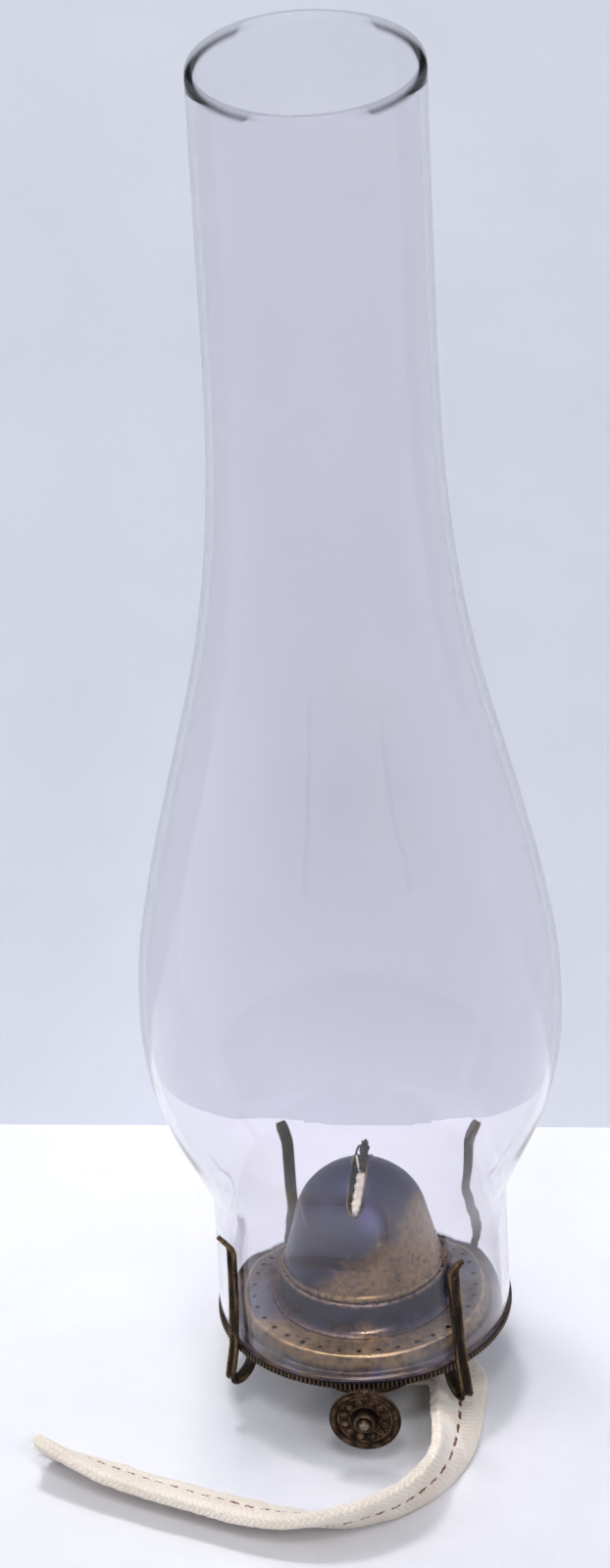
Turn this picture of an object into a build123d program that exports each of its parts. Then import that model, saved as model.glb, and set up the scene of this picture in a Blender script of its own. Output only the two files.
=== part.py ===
"""Flat-wick kerosene lamp burner with its glass chimney and cotton wick.

Millimetres. +Z is up, the origin is on the burner's axis at the level of the table that it
stands on, and -Y is the front, where the knob is. The wick lies in the plane X = 0.
"""
from build123d import *
import math
import os

os.makedirs("parts", exist_ok=True)

# ---- chimney: heights are counted from the glass's own foot -------------------------------
fitter_radius = 38.1          # a 3 inch fitter
fitter_height = 36.5          # the straight foot, up to its corner
bulge_radius = 54.1
bulge_height = 92.5
neck_radius = 28.9
neck_height = 276.0           # where the taper ends and the straight neck begins
chimney_height = 361.5
glass_wall = 2.0
shoulder_bow = (0.65, 0.45)   # the shoulder passes here, as shares of its width and height
taper_shape = (               # share of the taper's height, share of its width still left
    (0.21, 0.835),
    (0.42, 0.495),
    (0.63, 0.183),
)

# ---- deck, ring and prongs -----------------------------------------------------------------
deck_height = 24.5            # the seat that the glass stands on, above the table
sheet = 0.5                   # brass sheet of the deck, basket and drum
rim_margin = 0.5              # the serrated edge stands out past the glass
rim_drop = 1.8                # how deep the serrated edge is
rim_teeth = 200
rim_tooth_depth = 0.4
rim_width = 2.2
seat_gap = 0.05               # play under a piece that rests and lifts off

plateau_rise = 3.8            # the pierced middle stands this far above the seat
seat_width = 4.7              # from the glass's outside in to the plateau's side
plateau_slope = 1.7           # how far the side leans in
deck_bend = 0.5               # bend radius of the sheet, on its middle
perforation_radius = 0.7
perforation_inset = 2.6       # from the plateau's edge
perforation_count = 36
perforation_start = 3.0       # degrees

prong_angles = (46.0, 127.0, 217.0, 315.0)   # degrees from +X; the pressing is not quite even
prong_drops = (0.0, 4.0, 0.0, 1.4)           # how much lower each flare begins
prong_width = 2.8
prong_thickness = 0.8
prong_clearance = 0.35        # between a prong and the glass, and a prong and the serrated edge
prong_bend_height = 13.4      # lowest point of the hairpin, above the table
prong_foot_bend = 6.4         # how far above it the foot turns out
hairpin_reach = 0.7           # from the leg's middle out to the hairpin's lowest point
hairpin_half = 1.7            # half the hairpin's width at its foot
prong_top = 31.0              # where the flare begins, above the deck
prong_flare = 4.6             # how far the flare runs up
flare_lean = 0.75             # how far out it runs, as a share of that
prong_flex_gap = 0.16         # the hairpin is parted here, where it flexes
rivet_radius = 0.9
rivet_head = 0.7
rivet_drop = 1.4              # from the edge's underside down to the rivet

# ---- drum and dome -------------------------------------------------------------------------
drum_margin = 1.6             # the drum stands out past the dome's foot
drum_height = 9.0             # above the plateau
drum_foot_width = 2.4         # the turned-out foot
drum_foot_height = 1.6
drum_ledge = 1.5              # and reaches in under it
dome_wall = 0.45
dome_foot_radius = 20.4
dome_lip = 0.5                # the foot's edge runs out this much
dome_belly = (0.44, 0.51)     # the side passes here, as shares of its width and height
dome_shoulder_margin = 3.7    # past each end of the wick
dome_shoulder_height = 30.3   # above the deck
dome_cap_margin = 1.7         # the top is part of a sphere this much larger than the shoulder
dome_flange = 1.1
slot_depth = 6.0              # how far below the shoulder the slot's cutter begins
skirt_clearance = 0.3
skirt_depth = 2.0
slot_margin = 0.7             # past each end of the wick
slot_side_margin = 0.9        # past each face of it

# ---- wick, tube and collar ------------------------------------------------------------------
wick_width = 25.2             # a 1 inch wick
wick_thickness = 2.4
wick_top = 35.2               # trimmed edge, above the deck
char_height = 4.6             # the burnt lump stands this much higher
char_length = 4.5
tube_clearance = 0.3          # all round the wick
tube_wall = 0.4
tube_bottom = 10.2
tube_top = 31.0               # above the deck

collar_margin = 3.275         # past each end of the wick: a 1 1/4 inch screw collar
collar_wall = 1.2
collar_bottom = 3.0           # the wick passes under the collar
collar_height = 9.0
flange_width = 1.525
flange_thickness = 0.6
collar_bevel = 0.6
plate_clearance = 0.2         # base plate inside the collar
basket_foot_width = 2.0       # the basket's flat foot, outside the flange
basket_bowl_width = 6.0       # from the bowl's corner out to the lip
basket_flare_height = 4.5
basket_lip_inset = 4.3        # from the serrated edge
basket_lip_height = 3.4
air_hole_radius = 0.8
air_hole_rows = (-2.2, 2.4)   # from the middle of the flare
air_hole_count = 30
vent_radius = 2.0
vent_wall = 0.4
vent_offset = 8.5
vent_length = 11.0
vent_bottom = 7.5

# ---- knob, shaft and spur wheels ------------------------------------------------------------
shaft_radius = 1.1
wheel_clearance = 0.05        # between the wheels and the base plate
shaft_offset = 4.1            # from the wick's plane
shaft_clearance = 0.05
knob_radius = 9.4
knob_reach = 5.0              # how far its face is in front of the serrated edge
knob_teeth = 72
knob_tooth_depth = 0.35
knob_rim_width = 1.9
knob_rim_thickness = 1.6
knob_dish = 0.7
boss_radius = 3.2
boss_length = 2.6
spur_teeth = 12
spur_tooth_height = 0.9
spur_width = 1.0
spur_pitch = 7.5              # from one wheel to the next
spur_bite = 0.05              # how far the tips stop short of the wick
shaft_back = 12.0
knob_turn = math.radians(90)  # each way from rest
bracket_thickness = 0.8
bracket_width = 5.2
bracket_gap = 1.2             # between a bracket and the nearest wheel
bracket_head = 1.0            # metal above the shaft's bore
shaft_collar_width = 0.8
shaft_end = 0.5               # how far the shaft stands out of the boss

# ---- the free wick on the table --------------------------------------------------------------
tail_radius = 4.4             # same section as the flat wick
tail_start_gap = 3.125        # from the collar's outside to where the free wick begins
tail_start_side = 1.0
tail_route = [
    (24.6, -3.6),
    (26.6, -12.5),
    (26.2, -26.5),
    (23.4, -41.5),
    (16.6, -55.5),
    (5.8, -66.5),
    (-8.0, -72.2),
    (-23.0, -71.8),
    (-38.0, -67.0),
    (-52.5, -61.4),
    (-66.5, -56.8),
    (-78.5, -51.6),
]

# ---- sizes that follow ------------------------------------------------------------------------
foot_of_glass = deck_height + seat_gap
deck_under = deck_height - sheet
plateau_top = deck_height + plateau_rise
rim_radius = fitter_radius + rim_margin
seat_inner = fitter_radius - seat_width
plateau_radius = seat_inner - plateau_slope
perforation_circle = plateau_radius - perforation_inset
drum_radius = dome_foot_radius + drum_margin
drum_mouth_radius = dome_foot_radius - drum_ledge
drum_top = plateau_top + drum_height
dome_foot = drum_top + seat_gap
dome_shoulder_radius = wick_width / 2 + dome_shoulder_margin
dome_cap_radius = dome_shoulder_radius + dome_cap_margin
dome_cap_centre = dome_shoulder_height - math.sqrt(dome_cap_radius**2 - dome_shoulder_radius**2)
slot_length = wick_width + 2 * slot_margin
slot_width = wick_thickness + 2 * slot_side_margin
collar_radius = wick_width / 2 + collar_margin
flange_radius = collar_radius + flange_width
tail_line = [(collar_radius + tail_start_gap, tail_start_side)] + tail_route
basket_lip_radius = rim_radius - basket_lip_inset
knob_face = rim_radius + knob_reach
collar_top = collar_bottom + collar_height
plate_top = collar_top + flange_thickness + sheet
tube_inner = (wick_thickness + 2 * tube_clearance, wick_width + 2 * tube_clearance)
tube_outer = (tube_inner[0] + 2 * tube_wall, tube_inner[1] + 2 * tube_wall)
spur_radius = shaft_offset - wick_thickness / 2 - spur_bite
shaft_height = plate_top + spur_radius + wheel_clearance
wick_travel = spur_radius * knob_turn
fold_gap = 0.2
fold_height = 2 * wick_thickness + fold_gap
wick_bottom = fold_height + wick_travel + 0.3
leg_radius = max(fitter_radius, rim_radius) + prong_clearance + prong_thickness / 2
grip_radius = fitter_radius + prong_clearance + prong_thickness / 2


def write(name, shape):
    export_step(shape, f"parts/{name}.step")


def profile(points):
    """A closed face in the XZ plane from (radius, height) corners."""
    return make_face(Polyline(*[(r, 0, z) for r, z in points], close=True))


def lathe(points):
    return revolve(profile(points), Axis.Z)


def strip(points, thickness, width, radius):
    """A bent strip: its middle line in the XZ plane, rounded at each corner."""
    middle = FilletPolyline(*points, radius=radius)
    return extrude(Plane.XZ * trace(middle, thickness), amount=width / 2, both=True)


def toothed_disc(radius, depth, teeth, height):
    """A disc whose edge is cut into pointed teeth."""
    corners = []
    for i in range(2 * teeth):
        r = radius if i % 2 == 0 else radius - depth
        a = math.pi * i / teeth
        corners.append((r * math.cos(a), r * math.sin(a)))
    return extrude(make_face(Polyline(*corners, close=True)), amount=height)


def around(shape, angle):
    return Rot(0, 0, angle) * shape


def facing_front(shape):
    """Turns a shape that was made about +Z so that it looks towards -Y."""
    return Rot(90, 0, 0) * shape


# ---- chimney ---------------------------------------------------------------------------------
def glass_outline(inset, lift):
    """One side of the wall, from foot to rim, set in from the outside by inset."""
    def at(r, z):
        return (r - inset, 0, foot_of_glass + z)

    taper = neck_height - bulge_height
    spread = bulge_radius - neck_radius
    foot = Line(at(fitter_radius, lift), at(fitter_radius, fitter_height))
    shoulder = ThreePointArc(
        at(fitter_radius, fitter_height),
        at(fitter_radius + shoulder_bow[0] * (bulge_radius - fitter_radius),
           fitter_height + shoulder_bow[1] * (bulge_height - fitter_height)),
        at(bulge_radius, bulge_height),
    )
    sweep_up = Spline(
        at(bulge_radius, bulge_height),
        *[at(neck_radius + left * spread, bulge_height + up * taper) for up, left in taper_shape],
        at(neck_radius, neck_height),
        tangents=[(0, 0, 1), (0, 0, 1)],
    )
    neck = Line(at(neck_radius, neck_height), at(neck_radius, chimney_height - lift))
    return [foot, shoulder, sweep_up, neck]


def rounded_end(z, way):
    """The half-round edge between the two sides of the wall."""
    r = fitter_radius if way < 0 else neck_radius
    lift = glass_wall / 2
    return ThreePointArc(
        (r, 0, z - way * lift), (r - glass_wall / 2, 0, z), (r - glass_wall, 0, z - way * lift)
    )


def chimney():
    lift = glass_wall / 2
    edges = glass_outline(0, lift) + glass_outline(glass_wall, lift)
    edges.append(rounded_end(foot_of_glass + chimney_height, 1))
    edges.append(rounded_end(foot_of_glass, -1))
    return revolve(make_face(Curve() + edges), Axis.Z)


# ---- deck and its edge -------------------------------------------------------------------------
def deck():
    """The pierced gallery plate: a seat for the glass and a raised middle for the drum."""
    half = sheet / 2
    middle = FilletPolyline(
        (drum_mouth_radius, plateau_top - half),
        (plateau_radius - half, plateau_top - half),
        (seat_inner - half, deck_height - half),
        (rim_radius - rim_tooth_depth, deck_height - half),
        radius=deck_bend,
    )
    plate = revolve(Plane.XZ * trace(middle, sheet), Axis.Z)
    hole = Pos(perforation_circle, 0, plateau_top) * Cylinder(perforation_radius, 4 * sheet)
    step = 360 / perforation_count
    return plate - [around(hole, perforation_start + i * step) for i in range(perforation_count)]


def rim_ring():
    outer = toothed_disc(rim_radius, rim_tooth_depth, rim_teeth, rim_drop)
    bore = Cylinder(rim_radius - rim_width, 3 * rim_drop)
    return Pos(0, 0, deck_under - rim_drop) * (outer - bore)


def drum():
    """The raised collar that carries the dome."""
    foot = drum_radius + drum_foot_width
    return lathe([
        (foot, plateau_top),
        (foot, plateau_top + sheet),
        (drum_radius + drum_foot_width / 3, plateau_top + drum_foot_height / 2),
        (drum_radius, plateau_top + drum_foot_height),
        (drum_radius, drum_top),
        (drum_mouth_radius, drum_top),
        (drum_mouth_radius, drum_top - sheet),
        (drum_radius - sheet, drum_top - sheet),
        (drum_radius - sheet, plateau_top),
    ])


# ---- dome ----------------------------------------------------------------------------------------
def dome():
    """Bell-shaped wall, spherical cap and flat foot, slotted for the wick."""
    foot = dome_foot
    shoulder = deck_height + dome_shoulder_height
    rise = shoulder - foot

    def side(inset):
        cap = dome_cap_radius - inset
        r = dome_shoulder_radius - inset
        centre = deck_height + dome_cap_centre
        z = centre + math.sqrt(cap**2 - r**2)
        middle = math.asin(r / cap) / 2
        bell = Spline(
            (dome_foot_radius - inset, 0, foot + dome_flange),
            (dome_shoulder_radius + dome_belly[0] * (dome_foot_radius - dome_shoulder_radius)
             - inset, 0, foot + dome_belly[1] * rise),
            (r, 0, z),
        )
        top = ThreePointArc(
            (r, 0, z),
            (cap * math.sin(middle), 0, centre + cap * math.cos(middle)),
            (0, 0, centre + cap),
        )
        return bell, top, centre + cap

    bell_out, top_out, peak_out = side(0)
    bell_in, top_in, peak_in = side(dome_wall)
    lip = dome_foot_radius + dome_lip
    inside = dome_foot_radius - dome_wall
    edges = [bell_out, top_out, bell_in, top_in]
    edges.append(Line((0, 0, peak_in), (0, 0, peak_out)))
    edges.append(Polyline(
        (dome_foot_radius, 0, foot + dome_flange), (lip, 0, foot + dome_flange),
        (lip, 0, foot), (inside, 0, foot), (inside, 0, foot + dome_flange),
    ))
    shell = revolve(make_face(Curve() + edges), Axis.Z)
    cutter = extrude(SlotOverall(slot_length, slot_width), amount=2 * rise)
    return shell - Pos(0, 0, shoulder - slot_depth) * (Rot(0, 0, 90) * cutter)


def dome_skirt():
    """The short ring inside the dome's foot that centres it in the drum's mouth."""
    outer = drum_mouth_radius - skirt_clearance
    seat = dome_foot_radius - dome_wall
    return lathe([
        (outer, dome_foot - skirt_depth),
        (outer, dome_foot),
        (seat, dome_foot),
        (seat, dome_foot + sheet),
        (outer - sheet, dome_foot + sheet),
        (outer - sheet, dome_foot - skirt_depth),
    ])


# ---- screw collar, base plate and basket -------------------------------------------------------------
def screw_collar():
    inner = collar_radius - collar_wall
    return lathe([
        (inner, collar_bottom),
        (collar_radius - collar_bevel, collar_bottom),
        (collar_radius, collar_bottom + collar_bevel),
        (collar_radius, collar_top),
        (flange_radius, collar_top),
        (flange_radius, collar_top + flange_thickness),
        (inner, collar_top + flange_thickness),
    ])


plate_radius = collar_radius - plate_clearance
basket_inner = plate_radius + plate_clearance / 2


def base_plate():
    """The disc that closes the collar, with holes for the wick tube and the vent."""
    disc = Pos(0, 0, plate_top - sheet) * Cylinder(
        plate_radius, sheet, align=(Align.CENTER, Align.CENTER, Align.MIN)
    )
    holes = [
        Pos(0, 0, plate_top) * Box(*tube_outer, 8),
        Pos(-vent_offset, 0, plate_top) * Cylinder(vent_radius, 8),
    ]
    return disc - holes


def basket_outline():
    """Outer side of the air basket, from the collar's flange up to the deck."""
    low = collar_top + flange_thickness
    corner = deck_under - basket_lip_height
    return [
        (basket_inner, low),
        (flange_radius + basket_foot_width, low),
        (basket_lip_radius - basket_bowl_width, low + basket_flare_height),
        (basket_lip_radius, corner),
        (basket_lip_radius, deck_under),
    ]


def basket():
    outer = basket_outline()
    inner = [
        (basket_inner, outer[0][1] + sheet),
        (outer[1][0] - 0.2 * sheet, outer[1][1] + sheet),
        (outer[2][0] - 0.7 * sheet, outer[2][1] + 0.9 * sheet),
        (outer[3][0] - sheet, outer[3][1] + 0.3 * sheet),
        (outer[4][0] - sheet, outer[4][1]),
    ]
    bowl = lathe(outer + inner[::-1])
    middle_r = (outer[1][0] + outer[2][0]) / 2
    middle_z = (outer[1][1] + outer[2][1]) / 2
    holes = []
    for place in air_hole_rows:
        hole = Pos(middle_r + place, 0, middle_z) * Cylinder(air_hole_radius, 2 * outer[0][1])
        step = 360 / air_hole_count
        holes += [around(hole, (i + 0.5) * step) for i in range(air_hole_count)]
    holes.append(
        Pos(shaft_offset, -basket_lip_radius, shaft_height)
        * facing_front(Cylinder(shaft_radius + 0.5, basket_lip_radius))
    )
    return bowl - holes


def vent_tube():
    pipe = Cylinder(vent_radius, vent_length) - Cylinder(vent_radius - vent_wall, 2 * vent_length)
    return Pos(-vent_offset, 0, vent_bottom + vent_length / 2) * pipe


# ---- wick tube and wick -------------------------------------------------------------------------------
def spur_places():
    return [(i - 1) * spur_pitch for i in range(3)]


def wick_tube():
    height = deck_height + tube_top - tube_bottom
    low = (Align.CENTER, Align.CENTER, Align.MIN)
    tube = Box(*tube_outer, height, align=low) - Pos(0, 0, -1) * Box(
        *tube_inner, height + 2, align=low
    )
    tube = Pos(0, 0, tube_bottom) * tube
    reach = math.sqrt(spur_radius**2 - (shaft_offset - tube_outer[0] / 2) ** 2)
    window = Box(4 * tube_wall, spur_width + 0.8, 2 * reach + 0.8)
    wall = (tube_inner[0] + tube_outer[0]) / 4
    return tube - [Pos(wall, y, shaft_height) * window for y in spur_places()]


def wick_band():
    """The upper wick, which the spur wheels raise and lower, with its burnt lump at the back."""
    low = (Align.CENTER, Align.CENTER, Align.MIN)
    top = deck_height + wick_top
    band = Pos(0, 0, wick_bottom) * Box(
        wick_thickness, wick_width, top - wick_bottom, align=low
    )
    lump = Pos(0, (wick_width - char_length) / 2, top) * Box(
        wick_thickness, char_length, char_height, align=low
    )
    return band + lump


fold_left = -9.6
fold_right = tail_line[0][0]


def wick_fold():
    """The slack wick that lies doubled under the tube and runs out under the collar."""
    turn = fold_height / 2
    edges = [
        Line((fold_left, 0, 0), (fold_right, 0, 0)),
        Line((fold_right, 0, 0), (fold_right, 0, wick_thickness)),
        Line((fold_right, 0, wick_thickness), (fold_left, 0, wick_thickness)),
        ThreePointArc(
            (fold_left, 0, wick_thickness),
            (fold_left - fold_gap / 2, 0, turn),
            (fold_left, 0, wick_thickness + fold_gap),
        ),
        Line((fold_left, 0, wick_thickness + fold_gap),
             (wick_thickness / 2, 0, wick_thickness + fold_gap)),
        Line((wick_thickness / 2, 0, wick_thickness + fold_gap),
             (wick_thickness / 2, 0, fold_height)),
        Line((wick_thickness / 2, 0, fold_height), (fold_left, 0, fold_height)),
        ThreePointArc(
            (fold_left, 0, fold_height), (fold_left - turn, 0, turn), (fold_left, 0, 0)
        ),
    ]
    inside = 2 * math.sqrt((collar_radius - collar_wall - 0.3) ** 2 - (turn - fold_left) ** 2)
    lower = extrude(make_face(Curve() + edges), amount=inside / 2, both=True)
    return lower


def wick_tail():
    """The free wick, as a plain tube that lies on the table."""
    points = [(x, y, tail_radius) for x, y in tail_line]
    radii = []
    for a, b, c in zip(points, points[1:], points[2:]):
        before, after = Vector(*b) - Vector(*a), Vector(*c) - Vector(*b)
        turn = math.radians(before.get_angle(after))
        radii.append(0.45 * min(before.length, after.length) / math.tan(turn / 2))
    path = FilletPolyline(*points, radius=radii)
    start = Plane(origin=path @ 0, z_dir=path % 0)
    tube = sweep(start * Circle(tail_radius), path=path)
    length = path.length
    ideal = math.pi * tail_radius**2 * length
    print("wick tail radii", [round(r, 1) for r in radii])
    print(f"wick tail length {length:.1f}, volume over section x length {tube.volume / ideal:.4f}")
    return tube


# ---- knob, shaft and spur wheels --------------------------------------------------------------------------
def on_shaft(shape, y):
    """Places a piece that was made about +Z on the shaft, its foot y in front of the axis."""
    return Pos(shaft_offset, -y, shaft_height) * facing_front(shape)


def knob_disc():
    back = toothed_disc(knob_radius, knob_tooth_depth, knob_teeth, knob_rim_thickness)
    inner = knob_radius - knob_rim_width
    hollow = Pos(0, 0, knob_rim_thickness - knob_dish) * extrude(
        Circle(inner), amount=knob_rim_thickness
    )
    rear = Pos(0, 0, -knob_rim_thickness) * extrude(
        Circle(inner - 0.4), amount=knob_rim_thickness + 0.3
    )
    disc = back - hollow - rear - extrude(Circle(shaft_radius), amount=8, both=True)
    return on_shaft(disc, knob_face - knob_rim_thickness)


def knob_boss():
    low = knob_face - knob_dish
    boss = extrude(Circle(boss_radius), amount=boss_length)
    boss = chamfer(boss.edges().group_by(Axis.Z)[-1], 0.7)
    boss -= extrude(Circle(shaft_radius), amount=8, both=True)
    return on_shaft(boss, low)


def wick_shaft():
    front = knob_face - knob_dish + boss_length + shaft_end
    return on_shaft(extrude(Circle(shaft_radius), amount=front + shaft_back), -shaft_back)


def spur_wheel(y):
    wheel = toothed_disc(spur_radius, spur_tooth_height, spur_teeth, spur_width)
    wheel -= extrude(Circle(shaft_radius), amount=8, both=True)
    return on_shaft(wheel, -y - spur_width / 2)


bracket_front = spur_pitch + spur_width / 2 + bracket_gap
bracket_rear = -(bracket_front + bracket_thickness)


def bracket(y):
    """A small upright plate on the base plate that the shaft runs through."""
    near = tube_outer[0] / 2 + 0.15
    height = shaft_height + shaft_radius + bracket_head - plate_top
    plate = Box(bracket_width, bracket_thickness, height,
                align=(Align.MIN, Align.MAX, Align.MIN))
    plate = Pos(near, -y, plate_top) * plate
    bore = on_shaft(extrude(Circle(shaft_radius + shaft_clearance), amount=6, both=True), y)
    return plate - bore


def shaft_collar():
    """The ring behind the front bracket that keeps the shaft from sliding out."""
    ring = extrude(Circle(shaft_radius + shaft_collar_width), amount=shaft_collar_width)
    ring -= extrude(Circle(shaft_radius), amount=4, both=True)
    return on_shaft(ring, bracket_front + bracket_thickness + 0.2)


# ---- prongs ------------------------------------------------------------------------------------
hairpin_radius = leg_radius + hairpin_reach
foot_radius = basket_lip_radius + prong_thickness / 2


def prong_foot():
    """From the basket's lip out and down to the hairpin's lowest point."""
    return strip(
        [
            (foot_radius, deck_under - rim_drop - 0.1),
            (foot_radius, prong_bend_height + prong_foot_bend),
            (hairpin_radius - hairpin_half, prong_bend_height + prong_thickness / 2),
            (hairpin_radius - prong_flex_gap / 2, prong_bend_height + prong_thickness / 2),
        ],
        prong_thickness, prong_width, 0.7,
    )


def prong_leg(drop):
    """From the hairpin up along the glass to the flared tip, which begins lower by drop."""
    top = deck_height + prong_top - drop
    return strip(
        [
            (hairpin_radius + prong_flex_gap / 2, prong_bend_height + prong_thickness / 2),
            (hairpin_radius + hairpin_half, prong_bend_height + prong_thickness / 2),
            (leg_radius, deck_height),
            (grip_radius, top),
            (grip_radius + flare_lean * prong_flare, top + prong_flare),
        ],
        prong_thickness, prong_width, 0.6,
    )


def prong_rivet():
    """Through the prong's foot and the basket's lip."""
    z = deck_under - rim_drop - rivet_drop
    shank = Rot(0, 90, 0) * Cylinder(rivet_radius * 0.7, sheet + prong_thickness + 0.02)
    head = Rot(0, 90, 0) * Cylinder(rivet_radius, rivet_head)
    out = foot_radius + prong_thickness / 2 + rivet_head / 2
    back = basket_lip_radius - sheet - rivet_head / 2
    middle = foot_radius + prong_thickness / 2 - (sheet + prong_thickness) / 2
    return Pos(out, 0, z) * head + Pos(back, 0, z) * head + Pos(middle, 0, z) * shank


# ---- everything is written ---------------------------------------------------------------------
write("chimney", chimney())
write("deck", deck())
write("rim_ring", rim_ring())
write("drum", drum())
write("dome", dome())
write("dome_skirt", dome_skirt())
write("screw_collar", screw_collar())
write("base_plate", base_plate())
write("vent_tube", vent_tube())
write("wick_tube", wick_tube())
write("wick_band", wick_band())
write("wick_fold", wick_fold())
write("wick_tail", wick_tail())
write("knob_disc", knob_disc())
write("knob_boss", knob_boss())
write("wick_shaft", wick_shaft())
write("shaft_collar", shaft_collar())
write("bracket_front", bracket(bracket_front))
write("bracket_rear", bracket(bracket_rear))
for number, place in enumerate(spur_places(), 1):
    write(f"spur_wheel_{number}", spur_wheel(place))

shell = basket()
for number, (angle, drop) in enumerate(zip(prong_angles, prong_drops), 1):
    rivet = around(prong_rivet(), angle)
    shell -= rivet
    write(f"prong_foot_{number}", around(prong_foot(), angle) - rivet)
    write(f"prong_leg_{number}", around(prong_leg(drop), angle))
    write(f"prong_rivet_{number}", rivet)
write("basket", shell)
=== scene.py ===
"""Flat-wick lamp burner with its glass chimney and cotton wick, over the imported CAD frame."""

import math
import random

import bpy
import numpy as np
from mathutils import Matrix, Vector, noise


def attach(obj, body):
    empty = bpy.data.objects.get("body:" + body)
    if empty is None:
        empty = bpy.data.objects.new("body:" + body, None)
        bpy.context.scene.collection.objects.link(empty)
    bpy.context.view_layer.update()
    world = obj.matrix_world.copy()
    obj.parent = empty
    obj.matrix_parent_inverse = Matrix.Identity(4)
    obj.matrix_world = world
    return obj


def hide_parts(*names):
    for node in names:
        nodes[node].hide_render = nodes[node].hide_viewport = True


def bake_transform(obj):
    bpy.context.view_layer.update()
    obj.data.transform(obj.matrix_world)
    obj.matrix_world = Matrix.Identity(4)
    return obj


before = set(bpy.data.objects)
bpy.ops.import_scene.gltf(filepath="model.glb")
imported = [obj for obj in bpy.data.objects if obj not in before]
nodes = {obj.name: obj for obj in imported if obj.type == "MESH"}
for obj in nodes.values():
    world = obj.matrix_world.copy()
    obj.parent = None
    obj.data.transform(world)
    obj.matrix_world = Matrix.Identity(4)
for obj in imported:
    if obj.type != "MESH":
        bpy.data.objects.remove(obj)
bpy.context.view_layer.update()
scene = bpy.context.scene
MM = 0.001
rng = random.Random(7)


# ---- mesh helpers: points are given in millimetres ---------------------------------------------
def make_object(name, points, faces, material, sharp=40.0, **point_values):
    mesh = bpy.data.meshes.new(name)
    points = np.asarray(points, float) * MM
    mesh.from_pydata(points.tolist(), [], [tuple(int(i) for i in f) for f in faces])
    mesh.validate()
    mesh.update()
    for key, values in point_values.items():
        layer = mesh.attributes.new(key, "FLOAT", "POINT")
        layer.data.foreach_set("value", np.asarray(values, np.float32).ravel())
    mesh.shade_smooth()
    mesh.set_sharp_from_angle(angle=math.radians(sharp))
    obj = bpy.data.objects.new(name, mesh)
    scene.collection.objects.link(obj)
    if material is not None:
        mesh.materials.append(material)
    return obj


def grid_faces(rows, columns, wrap_rows=False, wrap_columns=False, offset=0):
    """Quads over a rows x columns grid of points, wound so that row x column faces outwards."""
    r = np.arange(rows if wrap_rows else rows - 1)
    c = np.arange(columns if wrap_columns else columns - 1)
    rr, cc = np.meshgrid(r, c, indexing="ij")
    r2, c2 = (rr + 1) % rows, (cc + 1) % columns
    quads = np.stack(
        [rr * columns + cc, rr * columns + c2, r2 * columns + c2, r2 * columns + cc], -1
    )
    return (quads.reshape(-1, 4) + offset).tolist()


def smooth_step(x, low, high):
    t = np.clip((np.asarray(x, float) - low) / (high - low), 0, 1)
    return t * t * (3 - 2 * t)


def curve_through(points, steps=12):
    """A smooth open line through points (Catmull-Rom)."""
    p = np.asarray(points, float)
    p = np.vstack([2 * p[0] - p[1], p, 2 * p[-1] - p[-2]])
    out = []
    for i in range(1, len(p) - 2):
        for t in np.linspace(0, 1, steps, endpoint=False):
            out.append(0.5 * (
                2 * p[i] + (p[i + 1] - p[i - 1]) * t
                + (2 * p[i - 1] - 5 * p[i] + 4 * p[i + 1] - p[i + 2]) * t * t
                + (3 * p[i] - p[i - 1] - 3 * p[i + 1] + p[i + 2]) * t**3
            ))
    out.append(p[-2])
    return np.array(out)


def evenly(points, step):
    """The same open line with evenly spaced points and its corners eased."""
    points = np.asarray(points, float)
    run = np.concatenate([[0], np.cumsum(np.linalg.norm(np.diff(points, axis=0), axis=1))])
    at = np.linspace(0, run[-1], int(run[-1] / step) + 1)
    out = np.stack([np.interp(at, run, points[:, k]) for k in (0, 1)], -1)
    for _ in range(3):
        out[1:-1] = 0.25 * out[:-2] + 0.5 * out[1:-1] + 0.25 * out[2:]
    return out


def lathe(name, outline, segments, material, wear=None, sharp=40.0, wave=None):
    """Turns a closed (r, z) outline about Z. wave(angle, r, z) may return changed r, z."""
    outline = np.asarray(outline, float)
    angle = np.linspace(0, 2 * math.pi, segments, endpoint=False)
    r = np.repeat(outline[None, :, 0], segments, 0)
    z = np.repeat(outline[None, :, 1], segments, 0)
    a = np.repeat(angle[:, None], len(outline), 1)
    if wave is not None:
        r, z = wave(a, r, z)
    points = np.stack([r * np.cos(a), r * np.sin(a), z], -1).reshape(-1, 3)
    values = {}
    if wear is not None:
        values["wear"] = np.asarray(wear(a, r, z), float).reshape(-1)
    faces = grid_faces(segments, len(outline), True, True)
    return make_object(name, points, faces, material, sharp, **values)


def recalculated(obj):
    """Turns all of a closed mesh's faces outwards."""
    import bmesh

    bm = bmesh.new()
    bm.from_mesh(obj.data)
    bmesh.ops.recalc_face_normals(bm, faces=bm.faces)
    bm.to_mesh(obj.data)
    bm.free()
    return obj


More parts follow.
